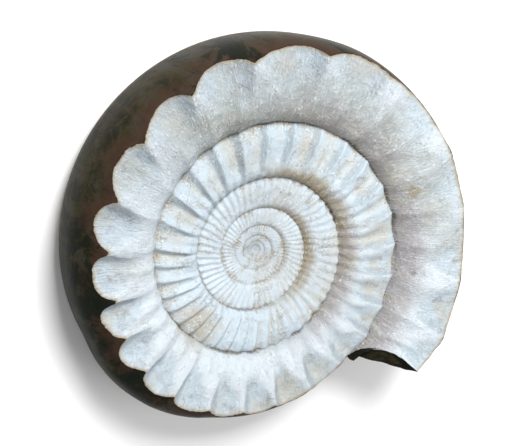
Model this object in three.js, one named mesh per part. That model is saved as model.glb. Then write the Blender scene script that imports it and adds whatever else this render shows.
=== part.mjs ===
// A polished ammonite lying on its back: one solid, coiled in a flat spiral, in millimetres, +Z up.
//
// The shell is a logarithmic spiral round the Z axis. An angle counts back from the open end, so a place
// 360 degrees further on is the whorl inside. Each whorl's flank runs from its own seam, next to the older
// whorl, out to the seam of the younger one. The last whorl goes on over a ground and polished rim to a
// mirrored back, whose high ribs are ground off on one plane, the face that the fossil rests on.

import * as THREE from 'three';

// Driving dimensions: millimetres, degrees, and parts of the whorl's size where a name says so
const seamRadius = 106;        // radius of the last whorl's inner seam at angle 0
const expansion = 1.713;       // growth of every size in one turn
const seamRise = 0.209;        // height of a seam over the middle plane, as a part of its radius
const apertureAngle = -48;     // where the shell ends
const slowing = 0.030;         // how much the growth falls back in the last stretch before the end
const outerSlowing = 0.070;    // and how much more of it the outside of the whorl loses
const slowingStart = 70;       // angle where it begins to
const restDepth = 32;          // from the middle plane down to the plane it rests on

// Section of a whorl, as parts of its size
const flankBulge = 0.088;      // how far the flank stands over the line between its two seams
const oldBulge = 0.055;        // the same on the oldest whorls
const bulgeSkew = 0.75;        // under 1 puts the highest place nearer the inner seam
const bulgePower = 2.5;
const scoopDepth = 0.050;      // depth of the hollow between two ribs
const scoopSkew = 0.28;        // how far its deepest place lies towards the open end, 0 is midway
const rim = { middle: 0.70, reach: 0.265, height: 0.285, lift: 0.031, power: 2.8 };
const rimCutAngle = 150;       // where the rim is ground down most
const rimSway = { angle: 222, reach: 0.027, dip: 0.018 };   // where it is lowest and reaches furthest
const rimDent = { angle: 26, reach: 0.020 };                // where it reaches less
const heel = { angle: 229, reach: 0.034 };                  // a bulge of the rim, widest halfway down

// The broken end: set back and in towards the outside, and further back in a bow on the upper flank
const lip = { skew: 11, shrink: 0.066, notch: 8, length: 24, depth: 12 };

// Ribs of the last whorl, by the angles of their crests, and the even spacings of the older shell
const ribAngles = [-48, -25, -8, 12.5, 35, 60, 79.5, 101.5, 121.5, 139.5, 157.5, 174, 190, 203.5, 218,
  232.5, 247.5, 262, 275, 290.5, 306, 322];
// Depths of the first hollows, 1 for the others
const hollowDepths = [0.7, 0.9, 0.75, 0.6, 0.4, 0.7, 1, 1.15, 0.95, 0.95, 1, 0.9, 0.95, 0.9, 0.9, 0.85,
  0.8, 0.9];
const olderRibs = [{ upTo: 520, spacing: 13.2 }, { upTo: 680, spacing: 8.5 }, { upTo: 5000, spacing: 6.5 }];

// Mesh
const turns = 6;
const stepAngle = 4.2;                // about the angle of a step
const strides = [1, 1, 2, 2, 4, 4];   // steps that one cell of each turn spans, from the outside in
const flankColumns = 5;
const rimColumns = 10;

const radians = THREE.MathUtils.degToRad;
const smooth = THREE.MathUtils.smoothstep;
const mix = THREE.MathUtils.lerp;

// Crest angles of the whole shell: the last whorl's own ones, then the even ones
function allRibs() {
  const crests = [...ribAngles];
  for (const { upTo, spacing } of olderRibs) {
    while (crests.at(-1) < upTo) crests.push(crests.at(-1) + spacing);
  }
  return crests;
}
const crests = allRibs();

// Steps of one turn: every gap between two ribs of the last whorl is cut in equal steps
const gapEnds = [...ribAngles.slice(0, -1), apertureAngle + 360];
const stepAngles = gapEnds.slice(0, -1).flatMap((start, gap) => {
  const count = Math.round((gapEnds[gap + 1] - start) / stepAngle);
  return Array.from({ length: count }, (_, step) => mix(start, gapEnds[gap + 1], step / count));
});
const stepCount = stepAngles.length;
const angleOf = (turn, step) => (step < stepCount ? stepAngles[step] : stepAngles[0] + 360) + 360 * turn;

// How far the slower growth of the open end has set in, 0 to 1
const late = (angle) => smooth(slowingStart - angle, 0, slowingStart - apertureAngle);

// Radius of a whorl's inner seam
const seam = (angle) => seamRadius * expansion ** (-angle / 360) * (1 - slowing * late(angle));

// Size of a whorl: the radius that its outer seam has or would have at an even growth
const size = (angle) => expansion * seam(angle) * (1 - outerSlowing * late(angle));

// Outer end of a flank. On the last whorl, which nothing covers, it opens from the seam to the full size
function flankEnd(angle) {
  const last = apertureAngle + 360;
  if (angle >= last) return seam(angle - 360);
  return size(angle) * mix(1, seam(last - 360) / size(last), smooth(angle, 250, last));
}

// Hollow between two ribs, a petal: 0 on a crest and 1 where deepest, narrower towards the inner seam.
// It is a parabola on the outer whorls and a narrow wave between the round ribs of the older ones
function scoop(angle, across) {
  const older = smooth(angle, 320, 480);
  const lean = mix(3.5 + 2.5 * Math.sin(radians(2 * (angle - 200))), -3, older);
  const leaned = angle + lean * (0.7 - across);
  const next = Math.max(1, crests.findIndex((crest) => crest > leaned));
  const gap = crests[next] - crests[next - 1];
  const even = THREE.MathUtils.clamp(2 * (leaned - crests[next - 1]) / gap - 1, -1, 1);
  const skew = mix(scoopSkew, 0.05, smooth(across, 0.6, 1));
  const place = (even + skew) / (1 + skew * even);
  const width = mix(mix(0.45, 0.8, older), 1, smooth(across, 0.05, mix(0.75, 0.4, older)));
  const petal = Math.max(0, 1 - (place / width) ** 2) ** 1.15;
  const wave = (0.5 + 0.5 * Math.cos(Math.PI * place)) ** 1.2;
  return mix(petal, wave, smooth(angle, 480, 640)) * (hollowDepths[next - 1] ?? 1);
}

// Depth of the hollows at a place on the flank, from 0 near the inner seam to 1 at its outer end.
// On the last whorl they are bowls, shallower again at the outer end
function hollow(angle, across) {
  const older = smooth(angle, 300, 500);
  const depth = scoopDepth * size(angle) * mix(1, 0.6, smooth(angle, 360, 700));
  const start = mix(0.10, 0.04 + 0.18 * smooth(Math.cos(radians(angle)), 0, 0.8), older);
  const bowl = 1 - 0.4 * smooth(across, 0.6, 1) * (1 - older);
  return scoop(angle, across) * depth * bowl * smooth(across, start, mix(0.7, 0.45, older));
}

// Height of the flank over the middle plane at a radius. Its arch meets the seams at a slant, and
// drops steeply only towards the free outer end
function flankHeight(angle, radius) {
  const inner = seam(angle);
  const outer = flankEnd(angle);
  const across = THREE.MathUtils.clamp((radius - inner) / (outer - inner), 0, 1);
  const innerHeight = seamRise * inner - hollow(angle + 360, 1);
  const steepness = mix(0.5, 0.8, Math.max(smooth(angle, 240, 320), 1 - smooth(across, 0.3, 0.6)));
  const arch = (1 - Math.abs(2 * across ** bulgeSkew - 1) ** bulgePower) ** steepness;
  const bulge = mix(flankBulge, oldBulge, smooth(angle, 600, 1000));
  return mix(innerHeight, seamRise * outer, across) + bulge * size(angle) * arch
    - hollow(angle, across);
}

// The ground rim is a superellipse round the middle of the whorl. Its cut is deepest on one side
function rimShape(angle) {
  const cut = smooth(Math.cos(radians(angle - rimCutAngle)), -0.15, 0.7);
  const sway = Math.cos(radians(angle - rimSway.angle));
  const dent = smooth(Math.cos(radians(angle - rimDent.angle)), 0.7, 1);
  return { height: size(angle) * (rim.height + rim.lift * (1 - cut) - rimSway.dip * sway),
           middle: size(angle) * rim.middle,
           reach: size(angle) * (rim.reach + rimSway.reach * sway - rimDent.reach * dent) };
}
function rimHeight(angle, radius) {
  const { height, middle, reach } = rimShape(angle);
  const out = THREE.MathUtils.clamp((radius - middle) / reach, 0, 1);
  return height * (1 - out ** rim.power) ** (1 / rim.power);
}

// Radius where the flank meets the ground rim, found by halving
function creaseRadius(angle) {
  const end = flankEnd(angle);
  let inside = mix(seam(angle), end, 0.4);
  let outside = end;
  if (flankHeight(angle, end) < rimHeight(angle, end)) return end;
  for (let halving = 0; halving < 20; halving++) {
    const middle = (inside + outside) / 2;
    if (flankHeight(angle, middle) < rimHeight(angle, middle)) inside = middle;
    else outside = middle;
  }
  return inside;
}

// A place on the flank: columns stand closer together towards both seams
function flankPoint(turn, step, column) {
  const angle = angleOf(turn, step);
  const outer = turn === 0 ? creaseRadius(angle) : flankEnd(angle);
  const across = 0.5 - 0.5 * Math.cos(Math.PI * column / flankColumns);
  const radius = mix(seam(angle), outer, across);
  return { angle, radius, height: flankHeight(angle, radius) };
}

// A place on the rim, from the front crease round to the back one, by the superellipse's own angle
function rimPoint(step, column) {
  const crease = flankPoint(0, step, flankColumns);
  const { height, middle, reach } = rimShape(crease.angle);
  const start = Math.asin((crease.height / height) ** (rim.power / 2));
  const turned = mix(start, -start, column / rimColumns);
  const power = 2 / rim.power;
  const gap = crease.radius - middle - reach * Math.cos(start) ** power;
  const bulge = smooth(Math.cos(radians(crease.angle - heel.angle)), 0.9, 1) * heel.reach
    * size(crease.angle) * (1 - (turned / start) ** 2);
  return { angle: crease.angle,
           radius: middle + reach * Math.cos(turned) ** power + gap * Math.abs(turned / start) + bulge,
           height: height * Math.sign(turned) * Math.abs(Math.sin(turned)) ** power };
}

// Near the open end the outside is set back and in, and the upper skin further back, in a bow
function place({ angle, radius, height }) {
  const near = THREE.MathUtils.clamp((apertureAngle - angle) / lip.length + 1, 0, 1) ** 1.3;
  const outer = 0.93 * size(angle);
  const across = THREE.MathUtils.clamp((radius - seam(angle)) / (outer - seam(angle)), 0, 1);
  const high = 1 - smooth(flankHeight(angle, radius) - height, 0, lip.depth);
  const bow = Math.sin(Math.PI * across ** 0.45);
  const turned = radians(angle + near * (lip.skew * across + lip.notch * high * bow));
  const drawnIn = radius * (1 - lip.shrink * near * across);
  return new THREE.Vector3(drawnIn * Math.cos(turned), drawnIn * Math.sin(turned),
                           Math.max(height, -restDepth));
}

const vertices = [];
const sections = [];
const known = new Map();
function vertex(name, point) {
  if (!known.has(name)) {
    known.set(name, vertices.length);
    const at = point();
    vertices.push(place(at));
    sections.push(new THREE.Vector2(at.radius, Math.max(at.height, -restDepth)));
  }
  return known.get(name);
}

// Vertices are shared: the end of a turn is the start of the next one in, and the outer end of a flank
// is the seam of the whorl outside it
function flankVertex(side, turn, step, column) {
  if (step === stepCount && turn < turns - 1) return flankVertex(side, turn + 1, 0, column);
  if (turn > 0 && column === flankColumns) return flankVertex(side, turn - 1, step, 0);
  return vertex(`flank ${side} ${turn} ${step} ${column}`, () => {
    const point = flankPoint(turn, step, column);
    return { ...point, height: side * point.height };
  });
}
function rimVertex(step, column) {
  if (column === 0) return flankVertex(1, 0, step, flankColumns);
  if (column === rimColumns) return flankVertex(-1, 0, step, flankColumns);
  return vertex(`rim ${step} ${column}`, () => rimPoint(step, column));
}

const triangles = [];
function addTriangle(a, b, c, flipped) {
  triangles.push(...(flipped ? [a, c, b] : [a, b, c]));
}

// Fills between an inner row of two vertices and an outer row of two or more
function addStrip(inner, outer, flipped) {
  const half = Math.floor(outer.length / 2);
  outer.slice(1).forEach((vertexAfter, k) =>
    addTriangle(inner[k < half ? 0 : 1], outer[k], vertexAfter, flipped));
  addTriangle(inner[0], outer[half], inner[1], flipped);
}

function addFlank(side, turn) {
  const stride = strides[turn];
  for (let step = 0; step < stepCount; step += stride) {
    for (let column = 0; column < flankColumns; column++) {
      const atSeam = column === flankColumns - 1 && turn > 0;
      const outerStride = atSeam ? strides[turn - 1] : stride;
      const outer = [];
      for (let k = 0; k <= stride; k += outerStride) {
        outer.push(flankVertex(side, turn, step + k, column + 1));
      }
      const inner = [step, step + stride].map((s) => flankVertex(side, turn, s, column));
      addStrip(inner, outer, side < 0);
    }
  }
}

function addRim() {
  for (let step = 0; step < stepCount; step++) {
    for (let column = 0; column < rimColumns; column++) {
      const inner = [step, step + 1].map((s) => rimVertex(s, column));
      const outer = [step, step + 1].map((s) => rimVertex(s, column + 1));
      addStrip(inner, outer, false);
    }
  }
}

// The first chamber closes the middle of the coil
function addMiddle(side) {
  const last = turns - 1;
  const loop = [];
  for (let step = 0; step <= stepCount; step += strides[last]) loop.push(flankVertex(side, last, step, 0));
  for (let column = 1; column < flankColumns; column++) {
    loop.push(flankVertex(side, last, stepCount, column));
  }
  const radius = seam(angleOf(last, stepCount));
  const middle = vertex(`middle ${side}`, () => ({ angle: 0, radius: 0, height: side * radius * 0.4 }));
  loop.forEach((from, k) => addTriangle(middle, from, loop[(k + 1) % loop.length], side < 0));
}

// The broken end: between the last section and the rim of the whorl that it wraps
function addAperture() {
  const columns = Array.from({ length: flankColumns }, (_, column) => column);
  const between = Array.from({ length: rimColumns + 1 }, (_, column) => column);
  const loop = [
    ...columns.map((column) => flankVertex(1, 0, 0, column)),
    ...between.map((column) => rimVertex(0, column)),
    ...columns.map((column) => flankVertex(-1, 0, 0, column)).reverse(),
    ...between.slice(1, -1).map((column) => rimVertex(stepCount, column)).reverse(),
  ];
  const contour = loop.map((index) => sections[index]);
  for (const [a, b, c] of THREE.ShapeUtils.triangulateShape(contour, [])) {
    addTriangle(loop[a], loop[b], loop[c], false);
  }
}

for (const side of [1, -1]) {
  for (let turn = 0; turn < turns; turn++) addFlank(side, turn);
  addMiddle(side);
}
addRim();
addAperture();

const geometry = new THREE.BufferGeometry().setFromPoints(vertices);
geometry.setIndex(triangles);
geometry.computeBoundingBox();
const box = geometry.boundingBox;
geometry.translate(-(box.min.x + box.max.x) / 2, -(box.min.y + box.max.y) / 2, -box.min.z);
geometry.computeVertexNormals();

const shell = new THREE.MeshStandardMaterial({ color: 0xcfd3d4, roughness: 0.75, metalness: 0 });
const ammonite = new THREE.Mesh(geometry, shell);
ammonite.name = 'ammonite';

const fossil = new THREE.Group();
fossil.add(ammonite);
export default fossil;
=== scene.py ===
import math
import bpy
import numpy as np
from mathutils import Matrix, Vector


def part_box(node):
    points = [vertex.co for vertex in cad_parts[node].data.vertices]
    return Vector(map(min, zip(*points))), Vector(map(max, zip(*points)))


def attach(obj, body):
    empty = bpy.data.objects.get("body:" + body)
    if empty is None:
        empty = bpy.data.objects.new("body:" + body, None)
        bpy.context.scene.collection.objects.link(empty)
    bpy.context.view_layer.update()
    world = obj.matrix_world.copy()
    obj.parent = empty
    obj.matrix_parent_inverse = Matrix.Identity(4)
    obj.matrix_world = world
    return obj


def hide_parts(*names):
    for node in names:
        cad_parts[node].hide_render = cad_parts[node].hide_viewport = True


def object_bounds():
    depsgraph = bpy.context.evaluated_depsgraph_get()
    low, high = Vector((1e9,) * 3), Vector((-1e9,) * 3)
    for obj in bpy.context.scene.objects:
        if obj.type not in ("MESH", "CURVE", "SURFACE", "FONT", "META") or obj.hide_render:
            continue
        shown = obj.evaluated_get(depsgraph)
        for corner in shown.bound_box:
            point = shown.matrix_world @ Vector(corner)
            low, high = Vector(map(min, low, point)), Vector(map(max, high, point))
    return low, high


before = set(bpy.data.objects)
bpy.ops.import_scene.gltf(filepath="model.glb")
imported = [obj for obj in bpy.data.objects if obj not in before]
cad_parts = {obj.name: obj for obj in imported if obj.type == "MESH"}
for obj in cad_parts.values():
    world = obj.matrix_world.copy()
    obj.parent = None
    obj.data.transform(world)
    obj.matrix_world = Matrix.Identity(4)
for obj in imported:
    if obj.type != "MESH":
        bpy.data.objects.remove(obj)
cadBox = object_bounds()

millimetre = 0.001


# The coil's numbers are metres and degrees, or parts of a whorl's size. Angles count back from the
# open end, so a place 360 degrees further on is the whorl inside.
coil = {
    "seamRadius": 0.106,       # inner seam of the last whorl at angle 0
    "expansion": 1.713,        # growth of every size in one turn
    "seamRise": 0.209,         # height of a seam over the middle plane, part of its radius
    "endAngle": -48.0,
    "slowing": 0.030, "outerSlowing": 0.070, "slowingStart": 70.0,
    "restDepth": 0.032,        # from the middle plane down to the plane it rests on
    "turns": 7,
    "flankBulge": 0.088, "oldBulge": 0.055, "bulgeSkew": 0.75, "bulgePower": 2.5,
    "scoopDepth": 0.050, "scoopSkew": 0.28,
    "rimMiddle": 0.70, "rimReach": 0.265, "rimSway": 0.027, "rimSwayAngle": 222.0,
    "rimDent": 0.020, "rimDentAngle": 26.0,
    "rimHeight": 0.285, "rimDip": 0.018, "rimLift": 0.031, "rimPower": 2.8, "rimCutAngle": 150.0,
    "heelReach": 0.034, "heelAngle": 229.0,
    "lipSkew": 11.0, "lipNotch": 8.0, "lipShrink": 0.066, "lipLength": 24.0, "lipDepth": 0.012,
    "ribAngles": [-48, -25, -8, 12.5, 35, 60, 79.5, 101.5, 121.5, 139.5, 157.5, 174, 190, 203.5, 218,
                  232.5, 247.5, 262, 275, 290.5, 306, 322],
    "hollowDepths": [0.7, 0.9, 0.75, 0.6, 0.4, 0.7, 1.0, 1.15, 0.95, 0.95, 1.0, 0.9, 0.95, 0.9, 0.9,
                     0.85, 0.8, 0.9],                      # of the first hollows, 1 for the others
    "olderRibs": [(520, 13.2), (680, 8.5), (5000, 6.5)],   # up to this angle, one every so many degrees
    "knobAngle": 34.5, "knobAcross": 0.50, "knobHeight": 0.0035, "knobRadius": 0.009,
    "seed": 11,
}
frontMesh = {"steps": [720, 720, 360, 360, 360, 180, 180], "columns": [46, 26, 18, 12, 9, 7, 5]}
backMesh = {"steps": [360, 360, 180, 180, 180, 180, 180], "columns": [20, 14, 10, 7, 5, 5, 4]}
rimMesh = {"steps": 360, "columns": 30}
breakMesh = {"rings": 18, "hollow": 0.006}


# 0 below low, 1 above high, and between them the smooth S of 3 squares less 2 cubes
def ramp(value, low, high):
    part = np.clip((value - low) / (high - low), 0, 1)
    return part * part * (3 - 2 * part)


# The first value, and the part of the way from it to the second
def blend(first, second, part):
    return first + (second - first) * part


# Soft noise from -1 to 1: random heights at the corners of a cubic lattice, blended smoothly
def softNoise(place, cell, seed):
    heights = np.random.default_rng(seed).uniform(-1, 1, (32, 32, 32))
    scaled = place / cell
    corner = np.floor(scaled).astype(int)
    part = scaled - corner
    part = part * part * (3 - 2 * part)
    total = np.zeros(len(place))
    for dx in (0, 1):
        for dy in (0, 1):
            for dz in (0, 1):
                at = (corner + (dx, dy, dz)) % 32
                share = np.prod(np.where((dx, dy, dz), part, 1 - part), axis=1)
                total += share * heights[at[:, 0], at[:, 1], at[:, 2]]
    return total


# Angles of the rib crests: the given ones, then each group of older ones at its even spacing
def allRibs():
    crestsChalkAndHighlight = list(map(float, coil["ribAngles"]))
    for upTo, spacing in coil["olderRibs"]:
        while crestsChalkAndHighlight[-1] < upTo:
            crestsChalkAndHighlight.append(crestsChalkAndHighlight[-1] + spacing)
    return np.array(crestsChalkAndHighlight)


ribs = allRibs()
ribDepth = np.random.default_rng(coil["seed"]).uniform(0.85, 1.12, len(ribs))
ribDepth[1:1 + len(coil["hollowDepths"])] = coil["hollowDepths"]


# How far the slower growth of the open end has set in, a smooth S from 0 to 1
def late(angle):
    return ramp(coil["slowingStart"] - angle, 0, coil["slowingStart"] - coil["endAngle"])


# Radius of a whorl's inner seam: it grows by the same factor in every turn, a little less at the end
def seam(angle):
    even = coil["seamRadius"] * coil["expansion"] ** (-angle / 360)
    return even * (1 - coil["slowing"] * late(angle))


# Radius that the outer seam has at an even growth: the inner seam's, grown by one turn
def size(angle):
    return coil["expansion"] * seam(angle) * (1 - coil["outerSlowing"] * late(angle))


# Outer end of a flank: the seam of the whorl outside, and the full size where none covers it
def flankEnd(angle):
    last = coil["endAngle"] + 360
    openEnd = size(angle) * blend(1, seam(last - 360) / size(last), ramp(angle, 250, last))
    return np.where(angle >= last, seam(angle - 360), openEnd)


# Hollow between two ribs, a petal: 0 on a crest, and 1 nearer the rib towards the open end, so that
# side is steeper. It narrows towards the inner seam. On the outer whorls it is a parabola, and between
# the round ribs of the older ones a narrow cosine wave
def scoop(angle, across):
    older = ramp(angle, 320, 480)
    ribLean = blend(3.5 + 2.5 * np.sin(np.radians(2 * (angle - 200))), -3.0, older)
    angle = angle + ribLean * (0.7 - across)
    after = np.clip(np.searchsorted(ribs, angle, side="right"), 1, len(ribs) - 1)
    place = np.clip(2 * (angle - ribs[after - 1]) / (ribs[after] - ribs[after - 1]) - 1, -1, 1)
    skew = blend(coil["scoopSkew"], 0.05, ramp(across, 0.6, 1))
    place = (place + skew) / (1 + skew * place)
    width = blend(blend(0.45, 0.8, older), 1, ramp(across, 0.05, blend(0.75, 0.4, older)))
    petal = np.clip(1 - (place / width) ** 2, 0, 1) ** 1.15
    wave = (0.5 + 0.5 * np.cos(np.pi * place)) ** 1.2
    return blend(petal, wave, ramp(angle, 480, 640)) * ribDepth[after]


# Depth of the hollows, from nothing near the inner seam to the full depth further out. On the last
# whorl they are bowls, shallower again at the outer end
def hollow(angle, across):
    older = ramp(angle, 300, 500)
    depth = coil["scoopDepth"] * size(angle) * blend(1, 0.6, ramp(angle, 360, 700))
    start = blend(0.10, 0.04 + 0.18 * ramp(np.cos(np.radians(angle)), 0, 0.8), older)
    bowl = 1 - 0.4 * ramp(across, 0.6, 1) * (1 - older)
    return scoop(angle, across) * depth * bowl * ramp(across, start, blend(0.7, 0.45, older))


# Height over the middle plane: a line between the two seams, plus an arch, less the hollow.
# The arch meets the seams at a slant, and drops steeply only towards the free outer end
def flankHeight(angle, radius):
    inner, outer = seam(angle), flankEnd(angle)
    across = np.clip((radius - inner) / (outer - inner), 0, 1)
    innerHeight = coil["seamRise"] * inner - hollow(angle + 360, 1.0)
    steepness = blend(0.5, 0.8, np.maximum(ramp(angle, 240, 320), 1 - ramp(across, 0.3, 0.6)))
    arch = (1 - np.abs(2 * across ** coil["bulgeSkew"] - 1) ** coil["bulgePower"]) ** steepness
    bulge = blend(coil["flankBulge"], coil["oldBulge"], ramp(angle, 600, 1000))
    knob = np.hypot(np.radians(angle - coil["knobAngle"]) * radius,
                    (across - coil["knobAcross"]) * (outer - inner))
    return (blend(innerHeight, coil["seamRise"] * outer, across)
            + bulge * size(angle) * arch - hollow(angle, across)
            + coil["knobHeight"] * np.exp(-(knob / coil["knobRadius"]) ** 2))


# The ground rim is a superellipse round the middle of the whorl, cut deepest on one side, lower and
# further out on another, and dented on a third. Gives its height, its middle and its reach out
def rimShape(angle):
    cut = ramp(np.cos(np.radians(angle - coil["rimCutAngle"])), -0.15, 0.7)
    sway = np.cos(np.radians(angle - coil["rimSwayAngle"]))
    dent = ramp(np.cos(np.radians(angle - coil["rimDentAngle"])), 0.7, 1)
    height = coil["rimHeight"] + coil["rimLift"] * (1 - cut) - coil["rimDip"] * sway
    reach = coil["rimReach"] + coil["rimSway"] * sway - coil["rimDent"] * dent
    return size(angle) * height, size(angle) * coil["rimMiddle"], size(angle) * reach


# Height of that superellipse at a radius: the full height inside its middle, then falling to 0
def rimHeight(angle, radius):
    height, middle, reach = rimShape(angle)
    out = np.clip((radius - middle) / reach, 0, 1)
    return height * (1 - out ** coil["rimPower"]) ** (1 / coil["rimPower"])


# Radius where the flank meets the ground rim, found by halving
def creaseRadius(angle):
    end = flankEnd(angle)
    low, high = blend(seam(angle), end, 0.4), end.copy()
    for halving in range(24):
        middle = (low + high) / 2
        under = flankHeight(angle, middle) < rimHeight(angle, middle)
        low, high = np.where(under, middle, low), np.where(under, high, middle)
    return np.where(flankHeight(angle, end) < rimHeight(angle, end), end, low)


# Places of columns across a strip, halfway between even ones and a cosine's, so closer at both ends
def columnParts(count):
    even = np.linspace(0, 1, count + 1)
    return 0.5 * even + 0.5 * (0.5 - 0.5 * np.cos(np.pi * even))


# What is known of every vertex of the skin
factNames = ["angle", "radius", "height", "across", "edge", "hollow", "wall", "seamGap", "rough",
             "broken"]


# Vertices and faces, gathered one patch at a time
class Skin:
    def __init__(self):
        self.batches = []
        self.count = 0
        self.quads = []
        self.triangles = []

    # Adds vertices, one for each entry of the facts' common shape, and gives their numbers in it
    def points(self, **facts):
        rows = np.broadcast_arrays(*[facts[name] for name in factNames])
        self.batches.append(np.stack([row.ravel() for row in rows], 1))
        numbers = self.count + np.arange(rows[0].size).reshape(rows[0].shape)
        self.count += rows[0].size
        return numbers

    # Faces between neighbours of a grid whose rows run along the coil and columns across it
    def grid(self, numbers, flipped=False):
        corners = [numbers[:-1, :-1], numbers[:-1, 1:], numbers[1:, 1:], numbers[1:, :-1]]
        quads = np.stack([corner.ravel() for corner in corners], 1)
        self.quads.append(quads[:, ::-1] if flipped else quads)

    # Faces between two lines of vertices of any lengths: each edge of one line is joined to the
    # vertex of the other that its end comes next to, by their places along the lines
    def strip(self, first, second, firstParts, secondParts, flipped=False):
        opposite = np.searchsorted(secondParts[1:], firstParts[1:], side="left")
        made = [np.stack([first[:-1], second[np.minimum(opposite, len(second) - 1)], first[1:]], 1)]
        opposite = np.searchsorted(firstParts[1:], secondParts[1:], side="right")
        made.append(np.stack([second[:-1], second[1:], first[np.minimum(opposite, len(first) - 1)]], 1))
        made = np.concatenate(made)
        self.triangles.append(made[:, ::-1] if flipped else made)

    # Triangles from one vertex to every edge of a closed line
    def fan(self, middle, line, flipped=False):
        made = np.stack([np.full(len(line), middle), line, np.roll(line, -1)], 1)
        self.triangles.append(made[:, ::-1] if flipped else made)

    # Every fact as one array over all vertices
    def facts(self):
        return dict(zip(factNames, np.concatenate(self.batches).T))


# Facts of one turn of a face, rows by angle and columns across: straight from the inner seam to the
# outer end, which is the crease on the last whorl
def flankFacts(turn, side, angles, parts):
    angle = angles[:, None]
    inner = seam(angle)
    outer = creaseRadius(angle) if turn == 0 else flankEnd(angle)
    radius = blend(inner, outer, parts[None, :])
    height = flankHeight(angle, radius)
    across = (radius - inner) / (flankEnd(angle) - inner)
    edge = np.full(radius.shape, -1.0)
    if turn == 0:               # distance from the crease, square to it
        slant = np.gradient(outer[:, 0], np.radians(angles)) / outer[:, 0]
        edge = -np.hypot(outer - radius, height[:, -1:] - height) / np.hypot(1, slant)[:, None]
    gap = radius - inner
    if turn > 0:
        gap = np.minimum(gap, outer - radius)
    deepest = coil["scoopDepth"] * size(angle)
    # The steep wall of a hollow is where the hollow deepens quickly with the angle
    wall = np.clip((hollow(angle + 1, across) - hollow(angle - 1, across)) / deepest * 2.2, 0, 1)
    return {"angle": angle, "radius": radius, "height": side * height, "across": across, "edge": edge,
            "hollow": hollow(angle, across) / deepest, "wall": wall, "seamGap": gap, "rough": 1.0,
            "broken": 0.0}


# Angles of the rows of one turn, evenly spaced from the open end inwards
def turnAngles(turn, steps):
    return coil["endAngle"] + 360 * (turn + np.linspace(0, 1, steps + 1))


# One face of the coil, from the last whorl in to the first chamber. Each whorl's last row is the next
# one's first, and its seam is the next one's outer end, so that the skin has no gap
def addFace(skin, side, mesh):
    flipped = side < 0
    for turn in range(coil["turns"]):
        steps, columns = mesh["steps"][turn], mesh["columns"][turn]
        angles, parts = turnAngles(turn, steps), columnParts(columns)
        facts = flankFacts(turn, side, angles, parts)
        facts = {name: np.broadcast_to(fact, (steps + 1, columns + 1)) for name, fact in facts.items()}
        if turn == 0:
            own = skin.points(**{name: fact[:-1] for name, fact in facts.items()})
            last = skin.points(**{name: fact[-1, :-1] for name, fact in facts.items()})
            own = np.vstack([own, np.append(last, own[0, 0])])
            skin.grid(own, flipped)
            start, crease = own[0], own[:, -1]
            seamLine, lastRow = own[:, 0], own[-1]
        else:
            own = skin.points(**{name: fact[1:, :-1] for name, fact in facts.items()})
            skin.grid(own, flipped)
            stride = (len(seamLine) - 1) // steps
            firstRow = np.concatenate([lastRow, seamLine[1:stride]])
            firstParts = np.concatenate([lastParts, 1 + np.arange(1, stride)])
            skin.strip(firstRow, np.append(own[0], seamLine[stride]), firstParts, parts, not flipped)
            skin.strip(own[:, -1], seamLine[stride:], np.linspace(0, 1, steps),
                       np.linspace(0, 1, len(seamLine) - stride), flipped)
            seamLine, lastRow = (np.append(lastRow[0], own[:, 0]),
                                 np.append(own[-1], seamLine[-1]))
        lastParts = parts
    radius = seam(angles[-1])
    middle = skin.points(angle=0.0, radius=0.0, height=side * radius * 0.4, across=0.5, edge=-1.0,
                         hollow=0.0, wall=0.0, seamGap=radius, rough=0.0, broken=0.0)
    skin.fan(int(middle), np.concatenate([seamLine, lastRow[1:-1]]), flipped)
    return start, crease


# The ground rim, from the front crease round to the back one, by the superellipse's own angle,
# with a heel that bulges most halfway
def addRim(skin, frontCrease, backCrease):
    angles = turnAngles(0, rimMesh["steps"])
    angle = angles[:, None]
    radius = creaseRadius(angle)
    creaseHeight = flankHeight(angle, radius)
    height, middle, reach = rimShape(angle)
    power = 2 / coil["rimPower"]
    start = np.arcsin(np.clip(creaseHeight / height, 0, 1) ** (1 / power))
    gap = radius - middle - reach * np.cos(start) ** power
    turned = start * (1 - 2 * columnParts(rimMesh["columns"])[None, 1:-1])
    heel = ramp(np.cos(np.radians(angle - coil["heelAngle"])), 0.9, 1) * coil["heelReach"] * size(angle)
    rimRadius = (middle + reach * np.cos(turned) ** power + gap * np.abs(turned / start)
                 + heel * (1 - (turned / start) ** 2))
    rimZ = height * np.sign(turned) * np.abs(np.sin(turned)) ** power
    edge = np.hypot(rimRadius - radius, np.abs(rimZ) - creaseHeight)
    own = skin.points(angle=angle, radius=rimRadius, height=rimZ, across=1.0, edge=edge, hollow=0.0,
                      wall=0.0, seamGap=0.05, rough=0.0, broken=0.0)
    skin.grid(own)
    even = np.linspace(0, 1, len(angles))
    skin.strip(frontCrease, own[:, 0], np.linspace(0, 1, len(frontCrease)), even)
    skin.strip(own[:, -1], backCrease, even, np.linspace(0, 1, len(backCrease)))
    return own[0], own[-1]


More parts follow.
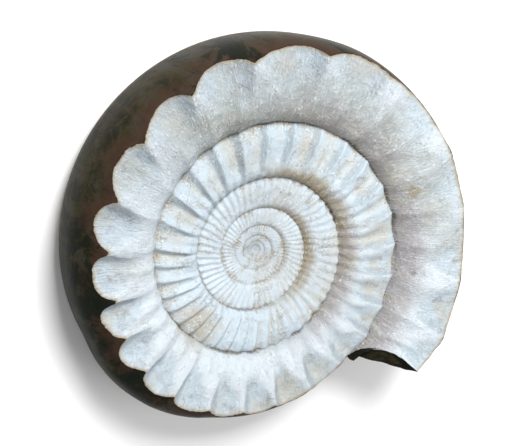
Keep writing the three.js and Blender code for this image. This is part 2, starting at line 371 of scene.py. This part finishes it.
# The broken end: rings from the outline of the last section in to the rim of the whorl that it wraps,
# sunk into the shell in the middle
def addBreak(skin, outline, wrapped):
    facts = skin.facts()
    line = {name: facts[name][outline] for name in ("angle", "radius", "height")}
    inner = {name: facts[name][wrapped] for name in ("angle", "radius", "height")}
    places, innerPlaces = np.linspace(0, 1, len(outline)), np.linspace(0, 1, len(wrapped))
    part = np.linspace(0, 1, breakMesh["rings"] + 1)[1:-1, None] ** 1.5
    radius = blend(line["radius"], np.interp(places, innerPlaces, inner["radius"]), part)
    height = blend(line["height"], np.interp(places, innerPlaces, inner["height"]), part)
    sunk = breakMesh["hollow"] * (np.sin(np.pi * part) * np.sin(np.pi * places)) ** 2
    angle = line["angle"] + np.degrees(sunk / radius)
    own = skin.points(angle=angle[:, 1:-1], radius=radius[:, 1:-1], height=height[:, 1:-1], across=1.0,
                      edge=0.01, hollow=0.0, wall=0.0, seamGap=0.05, rough=1.3, broken=1.0)
    rings = np.vstack([outline[1:-1], own])
    skin.grid(rings, True)
    for end, column in ((outline[0], 0), (outline[-1], -1)):
        wedge = np.stack([np.full(len(rings) - 1, end), rings[:-1, column], rings[1:, column]], 1)
        skin.triangles.append(wedge if column else wedge[:, ::-1])
    lastRing = np.concatenate([outline[:1], own[-1], outline[-1:]])
    skin.strip(lastRing, wrapped, places, innerPlaces)


# Places from the facts: round the axis by the angle, with the open end set back and in towards the
# outside, and the skin of its upper flank broken further back, in a bow
def placed(facts):
    angle, radius = facts["angle"], facts["radius"]
    near = np.clip((coil["endAngle"] - angle) / coil["lipLength"] + 1, 0, 1) ** 1.3
    across = np.clip((radius - seam(angle)) / (0.93 * size(angle) - seam(angle)), 0, 1)
    high = 1 - ramp(flankHeight(angle, radius) - facts["height"], 0, coil["lipDepth"])
    bow = np.sin(np.pi * across ** 0.45)
    turned = np.radians(angle + near * (coil["lipSkew"] * across + coil["lipNotch"] * high * bow))
    radius = radius * (1 - coil["lipShrink"] * near * across)
    return np.stack([radius * np.cos(turned), radius * np.sin(turned), facts["height"]], 1)


# The triangles of all faces, with every quad cut along its first diagonal
def cornerTriangles(quads, triangles):
    return np.concatenate([quads[:, [0, 1, 2]], quads[:, [0, 2, 3]], triangles])


# Normals of the vertices: the sum of the normals of the faces round each, by their areas
def vertexNormals(place, corners):
    first, second, third = (place[corners[:, k]] for k in range(3))
    upright = np.cross(second - first, third - first)
    normal = np.zeros_like(place)
    for k in range(3):
        np.add.at(normal, corners[:, k], upright)
    return normal / np.maximum(np.linalg.norm(normal, axis=1, keepdims=True), 1e-12)


# The crust's own relief, each wave with its size, random seed and height in millimetres
crustRelief = {"waves": [(0.026, 4, 0.9), (0.011, 1, 0.6), (0.0048, 2, 0.35), (0.0022, 3, 0.25)],
               "fullSize": 0.18, "least": 0.15}


# Uneven crust: the waves' sum along the normals, less on small whorls and none at the rim
def roughened(place, normal, facts):
    growth = np.clip(size(facts["angle"]) / crustRelief["fullSize"], crustRelief["least"], 1)
    amount = facts["rough"] * growth
    bumps = sum(height * softNoise(place, cell, seed) for cell, seed, height in crustRelief["waves"])
    return place + normal * (bumps * amount * millimetre)[:, None]


# How far the skin moves into the frame: its box and the CAD solid's share their middle and lowest plane
def shiftToFrame(place):
    low, high = (np.array(corner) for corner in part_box("ammonite"))
    shift = (low + high) / 2 - (place.min(0) + place.max(0)) / 2
    shift[2] = low[2] - place[:, 2].min()
    return shift


# A smooth mesh from arrays of places, quads and triangles
def newMesh(name, place, quads, triangles):
    mesh = bpy.data.meshes.new(name)
    loops = np.concatenate([quads.ravel(), triangles.ravel()])
    totals = np.concatenate([np.full(len(quads), 4), np.full(len(triangles), 3)])
    starts = np.concatenate([[0], np.cumsum(totals)[:-1]])
    mesh.vertices.add(len(place))
    mesh.vertices.foreach_set("co", place.astype(np.float32).ravel())
    mesh.loops.add(len(loops))
    mesh.loops.foreach_set("vertex_index", loops.astype(np.int32))
    mesh.polygons.add(len(totals))
    mesh.polygons.foreach_set("loop_start", starts.astype(np.int32))
    mesh.polygons.foreach_set("use_smooth", np.ones(len(totals), bool))
    mesh.update(calc_edges=True)
    mesh.validate()
    return mesh


# Facts that the material reads at each vertex, with the angle as turns from the open end
def writeFacts(mesh, facts):
    written = {name: facts[name] for name in ("across", "edge", "hollow", "wall", "seamGap", "broken")}
    written["turn"] = (facts["angle"] - coil["endAngle"]) / 360
    for name, values in written.items():
        layer = mesh.attributes.new(name, "FLOAT", "POINT")
        layer.data.foreach_set("value", values.astype(np.float32))


# The fossil: two faces, the rim between them and the broken end, ground flat at the rest plane.
# Gives the piece and the place of the coil's middle
def makeFossil():
    skin = Skin()
    frontStart, frontCrease = addFace(skin, 1, frontMesh)
    backStart, backCrease = addFace(skin, -1, backMesh)
    rimStart, rimEnd = addRim(skin, frontCrease, backCrease)
    outline = np.concatenate([frontStart, rimStart, backStart[::-1]])
    wrapped = np.concatenate([frontStart[:1], rimEnd, backStart[:1]])
    addBreak(skin, outline, wrapped)
    facts = skin.facts()
    quads, triangles = np.concatenate(skin.quads), np.concatenate(skin.triangles)
    place = placed(facts)
    normal = vertexNormals(place, cornerTriangles(quads, triangles))
    place = roughened(place, normal, facts)
    place[:, 2] = np.maximum(place[:, 2], -coil["restDepth"])
    shift = shiftToFrame(place)
    mesh = newMesh("ammoniteFossil", place + shift, quads, triangles)
    writeFacts(mesh, facts)
    piece = bpy.data.objects.new("ammoniteFossil", mesh)
    bpy.context.scene.collection.objects.link(piece)
    print("fossil:", len(place), "vertices,", len(quads) * 2 + len(triangles), "triangles")
    return piece, shift


fossil, coilMiddle = makeFossil()
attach(fossil, "root")
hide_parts("ammonite")


# Wraps a socket, so that shader sums read as plain arithmetic
class Value:
    def __init__(self, maker, socket):
        self.maker = maker
        self.socket = socket

    # A Math node on two of them, or on one and a plain number
    def joined(self, operation, first, second):
        return self.maker.number("ShaderNodeMath", {"operation": operation}, {0: first, 1: second})

    def __add__(self, other):
        return self.joined("ADD", self, other)

    def __radd__(self, other):
        return self.joined("ADD", other, self)

    def __sub__(self, other):
        return self.joined("SUBTRACT", self, other)

    def __rsub__(self, other):
        return self.joined("SUBTRACT", other, self)

    def __mul__(self, other):
        return self.joined("MULTIPLY", self, other)


# A material, and short ways to make its nodes
class Finish:
    def __init__(self, name):
        self.material = bpy.data.materials.new(name)
        self.material.use_nodes = True
        self.tree = self.material.node_tree
        self.tree.nodes.clear()

    # Any node: its type, its settings, and the values or links of its sockets
    def node(self, kind, settings=None, inputs=None):
        made = self.tree.nodes.new(kind)
        for name, value in (settings or {}).items():
            setattr(made, name, value)
        for name, value in (inputs or {}).items():
            if isinstance(value, Value):
                self.tree.links.new(value.socket, made.inputs[name])
            else:
                made.inputs[name].default_value = value
        return made

    # The Value of one output of a new node
    def number(self, kind, settings=None, inputs=None, output=0):
        return Value(self, self.node(kind, settings, inputs).outputs[output])

    # A number written at the vertices
    def fact(self, name):
        return self.number("ShaderNodeAttribute", {"attribute_name": name}, None, "Fac")

    # An operation on one or two vectors
    def vector(self, operation, first, second=None, output="Vector"):
        inputs = {0: first} if second is None else {0: first, 1: second}
        return self.number("ShaderNodeVectorMath", {"operation": operation}, inputs, output)

    # How far a place lies towards a direction, in metres
    def towards(self, place, direction):
        return self.vector("DOT_PRODUCT", place, direction, "Value")

    # The first value below low, the second above high, a smooth S between them
    def ramp(self, value, low, high, first=0.0, second=1.0):
        return self.number("ShaderNodeMapRange", {"interpolation_type": "SMOOTHSTEP"},
                           {"Value": value, "From Min": low, "From Max": high,
                            "To Min": first, "To Max": second})

    # Cloudy noise from 0 to 1, mostly near the middle, with scale clouds in a metre
    def noise(self, place, scale, detail=4.0, rough=0.55, twist=0.0):
        return self.number("ShaderNodeTexNoise", None,
                           {"Vector": place, "Scale": scale, "Detail": detail, "Roughness": rough,
                            "Distortion": twist}, "Fac")

    # Colours 6 and 7 of a Mix node are A and B, and output 2 is its colour
    def mix(self, first, second, part):
        colours = {6: first, 7: second}
        inputs = {key: (*colour, 1) if isinstance(colour, tuple) else colour
                  for key, colour in colours.items()}
        return self.number("ShaderNodeMix", {"data_type": "RGBA"}, {0: part, **inputs}, 2)

    # The shader at the end, with its colour, roughness and other sockets. Gives the material
    def surface(self, inputs):
        shader = self.node("ShaderNodeBsdfPrincipled", None, inputs)
        out = self.node("ShaderNodeOutputMaterial")
        self.tree.links.new(shader.outputs[0], out.inputs["Surface"])
        return self.material


# Colours, noise scales, and the sides that keep painted shade and each kind of dirt. Stroke scales are
# round the axis and out from it
crust = {"white": (0.62, 0.72, 0.79), "grey": (0.33, 0.38, 0.42), "cream": (0.60, 0.575, 0.50),
         "ochre": (0.40, 0.31, 0.17), "dirt": (0.10, 0.07, 0.045), "chalk": (0.85, 0.91, 0.95),
         "mauve": (0.46, 0.43, 0.45), "olive": (0.30, 0.29, 0.22), "roughness": 0.85,
         "cloudScale": 28.0, "patchScale": 95.0, "fleckScale": 750.0, "strokeScales": (125.0, 210.0),
         "shadeSide": (-0.5, 0.87, 0.0), "oliveSide": (0.30, 0.95, 0.0), "ochreSide": (0.96, 0.28, 0.0)}
# Stains: places from the coil's middle, radii in metres, strengths and colours
stains = [((-0.048, -0.044, 0.022), 0.022, 0.55, "ochre"), ((-0.014, 0.082, 0.030), 0.005, 0.7, "ochre"),
          ((0.071, 0.025, 0.030), 0.006, 0.8, "ochre"), ((0.114, -0.016, 0.034), 0.0025, 0.6, "dirt"),
          ((0.022, 0.022, 0.018), 0.008, 0.8, "ochre"), ((0.104, 0.045, 0.036), 0.008, 0.6, "ochre"),
          ((0.112, -0.005, 0.034), 0.016, 0.6, "mauve")]
stone = {"black": (0.007, 0.010, 0.007), "brown": (0.050, 0.033, 0.018), "olive": (0.030, 0.027, 0.011),
         "sheenSlate": (0.036, 0.044, 0.044), "red": (0.050, 0.027, 0.020), "reflectionGold": (0.15, 0.10, 0.03),
         "roughness": 0.38, "veinScale": 20.0, "mottleScale": 75.0, "bandScales": (5.0, 70.0),
         "brownSide": (0.35, 0.94, 0.0), "reflectionSide": (-0.64, 0.77, 0.0)}
# Where they meet: how ragged the border is, coarse and fine, and how sharp. Then what both share
border = {"coarseScale": 110.0, "coarse": 0.0030, "fineScale": 420.0, "fine": 0.0012, "sharp": 0.0002}
polish = {"refraction": 1.38, "gloss": 0.035, "reliefStrength": 0.9, "reliefDepth": 0.0020,
          "grainScale": 520.0, "pitScale": 170.0}


# Places for strokes: the direction round the axis, so that they shorten towards the middle, and the
# distance from it, each times its own scale
def strokePlace(f, place, scales):
    flat = f.vector("MULTIPLY", place, (1.0, 1.0, 0.0))
    outward = f.number("ShaderNodeCombineXYZ", None, {"Z": f.vector("LENGTH", flat, None, "Value")})
    roundAxis = f.vector("MULTIPLY", f.vector("NORMALIZE", flat), (scales[0], scales[0], 0.0))
    return f.vector("ADD", roundAxis, f.vector("MULTIPLY", outward, (0.0, 0.0, scales[1])))


# Noises that the crust's colours share, how far a place is past the last whorl, and the last whorl's
# hollows
def crustShades(f, place, facts):
    older = f.ramp(facts["turn"], 0.97, 1.25)
    return {"cloud": f.noise(place, crust["cloudScale"], 5.0, 0.62),
            "patch": f.noise(place, crust["patchScale"], 6.0, 0.72, 0.6),
            "strokes": f.noise(strokePlace(f, place, crust["strokeScales"]), 1.0, 6.0, 0.72, 0.8),
            "older": older, "lobes": facts["hollow"] * (1 - older)}


# Whitish crust: cream and grey where the noises are high, chalky inwards, chalk-white on the rib crests
# as chalky wear with painted highlight, and cream again along the crease
def cleanCrust(f, facts, shades):
    cloud, patch, older = shades["cloud"], shades["patch"], shades["older"]
    creamy = cloud * 0.7 + patch * 0.3 + facts["hollow"] * 0.14 + older * 0.02
    colour = f.mix(crust["white"], crust["cream"], f.ramp(creamy, 0.53, 0.70, 0.0, 0.75))
    greyish = f.ramp(patch + shades["strokes"] * 0.6, 0.78, 1.02, 0.0, 0.75)
    colour = f.mix(colour, crust["grey"], greyish)
    colour = f.mix(colour, crust["chalk"], f.ramp(facts["turn"], 1.3, 3.5, 0.0, 0.45))
    # Chalky wear with painted highlight: chalk-white where the last whorl's hollows are shallow, on the
    # crests and beside the inner seam
    crestsChalkAndHighlight = f.ramp(facts["hollow"] + patch * 0.3, 0.15, 0.55, 0.6, 0.0) * (1 - older)
    colour = f.mix(colour, crust["chalk"], crestsChalkAndHighlight)
    return f.mix(colour, crust["cream"], f.ramp(facts["edge"], -0.006, -0.001, 0.0, 0.4))


# Painted shade and dirt by sides: grey painted shade on the side towards +Y and -X and on the steep
# walls of the hollows, olive painted shade with dirt on the inner part of the last whorl towards +Y,
# ochre and mauve on the inner third of all towards +X, and then the stains
def crustDirtAndShade(f, colour, place, facts, shades):
    cloud, patch, older = shades["cloud"], shades["patch"], shades["older"]
    # Painted shade: grey over the side towards +Y and -X
    sideShade = f.ramp(f.towards(place, crust["shadeSide"]), 0.01, 0.14, 0.0, 0.35)
    colour = f.mix(colour, crust["grey"], sideShade)
    # Painted shade: grey on the steep walls of the hollows, less on the inner whorls
    wallShade = f.ramp(facts["wall"] * (patch + 0.5), 0.2, 0.9, 0.0, 0.55)
    colour = f.mix(colour, crust["grey"], wallShade * f.ramp(facts["turn"], 1.3, 2.4, 1.0, 0.3))
    # Olive painted shade with olive dirt on the inner part of the last whorl towards +Y, where the flank
    # faces in to the seam
    oliveSide = f.ramp(f.towards(place, crust["oliveSide"]), 0.02, 0.08)
    oliveShadeAndDirt = f.ramp(facts["across"] + patch * 0.5, 0.45, 0.95, 1.0, 0.0) * oliveSide * (1 - older)
    colour = f.mix(colour, crust["olive"], oliveShadeAndDirt * f.ramp(cloud, 0.35, 0.60, 0.25, 0.65))
    ochreSide = f.ramp(f.towards(place, crust["ochreSide"]), -0.01, 0.05)
    innerThird = f.ramp(facts["across"] + patch * 0.5, 0.30, 0.62, 1.0, 0.0) * ochreSide
    tone = f.mix(crust["ochre"], crust["mauve"], f.ramp(cloud + (1 - older) * 0.2, 0.54, 0.70))
    colour = f.mix(colour, tone, innerThird * f.ramp(cloud, 0.30, 0.60, 0.35, 0.85))
    nearest = f.ramp(facts["across"] + patch * 0.3, 0.18, 0.38, 0.55, 0.0) * ochreSide
    colour = f.mix(colour, crust["ochre"], nearest * (0.3 + older * 0.7))
    for centre, radius, strength, name in stains:
        away = f.vector("DISTANCE", place, centre, "Value") + (patch - 0.5) * radius * 2.4
        colour = f.mix(colour, crust[name], f.ramp(away, radius * 0.3, radius, strength, 0.0))
    return colour


# Ochre in the rib grooves of the older whorls and near the seams, and a dark crack along each seam
def crustSeams(f, colour, facts, shades):
    gap, groove = facts["seamGap"], facts["hollow"] * shades["older"] * 0.12
    stained = shades["patch"] + groove + f.ramp(gap, 0.0, 0.005, 1.0, 0.0) * 0.16
    colour = f.mix(colour, crust["ochre"], f.ramp(stained, 0.60, 0.84, 0.0, 0.6))
    crack = gap + (shades["strokes"] - 0.5) * 0.0025 + f.ramp(shades["cloud"], 0.42, 0.62, 0.0, 0.0010)
    dark = f.ramp(facts["turn"], 1.2, 3.0, 0.75, 0.2)
    return f.mix(colour, crust["dirt"], f.ramp(crack, 0.0002, 0.0012, 1.0, 0.0) * dark)


# Chalky bristle strokes where that noise is high and dark scratches where it is low, then flecks where
# the crust is rough, few in the smooth hollows
def crustStrokes(f, colour, place, facts, shades):
    strokes, older, lobes = shades["strokes"], shades["older"], shades["lobes"]
    bristle = f.ramp(strokes, 0.54, 0.66) * (1 - lobes * 0.5)
    colour = f.mix(colour, crust["chalk"], bristle * 0.8)
    atSeam = f.ramp(facts["seamGap"], 0.002, 0.016, 1.0, 0.0) * (1 - older)
    scratches = f.ramp(strokes + shades["patch"] * 0.3 - atSeam * 0.05, 0.40, 0.47, 0.6, 0.0)
    colour = f.mix(colour, crust["dirt"], scratches * (1 - older * 0.4))
    flecks = f.noise(place, crust["fleckScale"], 2.0, 0.5, 0.5)
    rougher = f.ramp(shades["patch"], 0.46, 0.58) * (1 - lobes * 0.8)
    colour = f.mix(colour, crust["chalk"], f.ramp(flecks, 0.55, 0.64, 0.0, 0.6) * rougher)
    return f.mix(colour, crust["dirt"], f.ramp(flecks, 0.35, 0.43, 0.28, 0.0) * rougher)


# Polished stone: green-black on the shaded side, brown on the other, with slate-grey bands of painted
# sheen along the rim and a golden line of painted reflection low down. Gives the colour and its veins
def stoneColour(f, place, facts):
    veins = f.noise(place, stone["veinScale"], 8.0, 0.70, 1.0)
    bands = f.noise(strokePlace(f, place, stone["bandScales"]), 1.0, 7.0, 0.70, 0.8)
    brownish = f.ramp(f.towards(place, stone["brownSide"]) * 2.2 + veins * 1.8, 0.80, 1.35)
    colour = f.mix(stone["black"], stone["olive"], f.ramp(bands, 0.40, 0.60))
    colour = f.mix(colour, stone["brown"], brownish * 0.8)
    # Painted sheen: slate-grey bands along the rim
    colour = f.mix(colour, stone["sheenSlate"], f.ramp(bands + veins * 0.5, 0.76, 0.88, 0.0, 0.5))
    mottle = f.noise(place, stone["mottleScale"], 8.0, 0.78, 1.2)
    colour = f.mix(colour, stone["brown"], f.ramp(mottle, 0.50, 0.60, 0.0, 0.6))
    colour = f.mix(colour, stone["black"], f.ramp(mottle, 0.38, 0.47, 0.7, 0.0))
    nearCrust = f.ramp(facts["edge"] + veins * 0.03, 0.014, 0.030, 1.0, 0.0)
    colour = f.mix(colour, stone["red"], nearCrust * 0.7)
    colour = f.mix(colour, stone["black"], f.ramp(veins, 0.50, 0.58, 0.0, 0.85))
    # Painted reflection: a golden line low on the rim, on the side towards reflectionSide
    height = f.towards(place, (0.0, 0.0, 1.0))
    reflectionSide = f.ramp(f.towards(place, stone["reflectionSide"]), 0.06, 0.12)
    low = f.ramp(height + veins * 0.020, -0.016, -0.004, 1.0, 0.0) * reflectionSide
    return f.mix(colour, stone["reflectionGold"], low * f.ramp(mottle, 0.40, 0.58, 0.25, 0.6)), veins


# Crust up to the crease and stone past it, with a ragged border and a thin brown line where the crust
# thins out
def fossilFinish():
    f = Finish("fossilStone")
    texture = f.number("ShaderNodeTexCoord", None, None, "Object")
    place = f.vector("SUBTRACT", texture, tuple(coilMiddle))
    facts = {name: f.fact(name) for name in ("across", "edge", "hollow", "wall", "seamGap", "broken",
                                             "turn")}
    shades = crustShades(f, place, facts)
    colour = cleanCrust(f, facts, shades)
    colour = crustDirtAndShade(f, colour, place, facts, shades)
    colour = crustSeams(f, colour, facts, shades)
    colour = crustStrokes(f, colour, place, facts, shades)
    dark, veins = stoneColour(f, place, facts)
    coarse = (f.noise(place, border["coarseScale"], 4.0, 0.6) - 0.5) * border["coarse"]
    fine = (f.noise(place, border["fineScale"], 2.0) - 0.5) * border["fine"]
    ragged = facts["edge"] + coarse + fine
    polished = f.ramp(ragged, -border["sharp"], border["sharp"])
    thin = f.ramp(ragged + shades["patch"] * 0.0020, -0.0014, 0.0010)
    colour = f.mix(colour, crust["ochre"], thin * 0.75)
    colour = f.mix(colour, dark, polished)
    rough = f.ramp(polished * (1 - facts["broken"]), 0.0, 1.0, crust["roughness"], stone["roughness"])
    # Relief: grain, pits and bristle strokes in the crust, a little waviness in the stone
    grain = f.noise(place, polish["grainScale"], 5.0, 0.7) * 0.5
    grain = grain + f.noise(place, polish["pitScale"], 4.0, 0.6)
    strokes = shades["strokes"] * (1 - shades["older"] * 0.4)
    relief = (grain + strokes * 1.3 + shades["patch"] * 0.9) * (1 - polished) + veins * 0.45
    bump = f.number("ShaderNodeBump", None, {"Strength": polish["reliefStrength"],
                                             "Distance": polish["reliefDepth"], "Height": relief},
                    "Normal")
    return f.surface({"Base Color": colour, "Roughness": rough, "Normal": bump,
                      "IOR": polish["refraction"], "Specular IOR Level": polish["gloss"]})


fossil.data.materials.append(fossilFinish())
print("materials done")


# Lamps stand at a compass angle from +X, a height angle and a distance from the fossil
studio = {"floor": (0.93, 0.93, 0.93), "floorRoughness": 0.9, "floorHalf": 6.0, "floorGap": 0.0002,
          "world": 0.44,
          "key": {"compass": 95.0, "above": 52.0, "away": 1.3, "width": 0.45, "power": 20.0},
          "fill": {"compass": 335.0, "above": 62.0, "away": 0.8, "width": 0.5, "power": 1.8}}
# The camera leans from +Z by tilt, towards side. The field's width is at the coil's middle
view = {"tilt": 29.9, "side": 148.3, "distance": 0.6983, "fieldWidth": 0.3699,
        "shift": (0.0152, 0.0499), "sensorWidth": 36.0}


# A square floor just under the lowest point of the part
def makeFloor():
    mesh = bpy.data.meshes.new("floor")
    half = studio["floorHalf"]
    mesh.from_pydata([(-half, -half, 0), (half, -half, 0), (half, half, 0), (-half, half, 0)], [],
                     [(0, 1, 2, 3)])
    floor = bpy.data.objects.new("floor", mesh)
    finish = Finish("paleFloor")
    mesh.materials.append(finish.surface({"Base Color": (*studio["floor"], 1),
                                          "Roughness": studio["floorRoughness"]}))
    floor.location.z = cadBox[0][2] - studio["floorGap"]
    bpy.context.scene.collection.objects.link(floor)


# Camera axes: towards the camera from the coil's middle, and a roll that keeps +X right and +Y up
def cameraAxes():
    tilt, side = math.radians(view["tilt"]), math.radians(view["side"])
    toCamera = Vector((math.sin(tilt) * math.cos(side), math.sin(tilt) * math.sin(side),
                       math.cos(tilt)))
    outward = Vector((math.cos(tilt) * math.cos(side), math.cos(tilt) * math.sin(side),
                      -math.sin(tilt)))
    sideways = Vector((-math.sin(side), math.cos(side), 0))
    right = math.cos(side) * outward - math.sin(side) * sideways
    up = math.sin(side) * outward + math.cos(side) * sideways
    return right, up, toCamera


# The lens is the sensor's width times the distance over the field's width
def makeCamera():
    right, up, toCamera = cameraAxes()
    data = bpy.data.cameras.new("camera")
    data.sensor_width = view["sensorWidth"]
    data.lens = view["sensorWidth"] * view["distance"] / view["fieldWidth"]
    data.shift_x, data.shift_y = view["shift"]
    camera = bpy.data.objects.new("camera", data)
    camera.matrix_world = Matrix((right, up, toCamera)).transposed().to_4x4()
    camera.location = Vector(coilMiddle) + toCamera * view["distance"]
    bpy.context.scene.collection.objects.link(camera)
    bpy.context.scene.camera = camera


# A square lamp at its angles and distance, turned to the origin
def makeLamp(name, compass, above, away, width, power):
    data = bpy.data.lights.new(name, "AREA")
    data.size = width
    data.energy = power
    lamp = bpy.data.objects.new(name, data)
    compass, above = math.radians(compass), math.radians(above)
    flat = away * math.cos(above)
    spot = Vector((flat * math.cos(compass), flat * math.sin(compass), away * math.sin(above)))
    lamp.location = spot
    lamp.rotation_mode = "QUATERNION"
    lamp.rotation_quaternion = spot.to_track_quat("Z", "Y")
    bpy.context.scene.collection.objects.link(lamp)


makeFloor()
makeCamera()
makeLamp("key", **studio["key"])
makeLamp("fill", **studio["fill"])
world = bpy.data.worlds.new("studio")
world.use_nodes = True
world.node_tree.nodes["Background"].inputs["Color"].default_value = (1, 1, 1, 1)
world.node_tree.nodes["Background"].inputs["Strength"].default_value = studio["world"]
bpy.context.scene.world = world
bpy.context.scene.view_settings.view_transform = "Standard"
print("studio done")
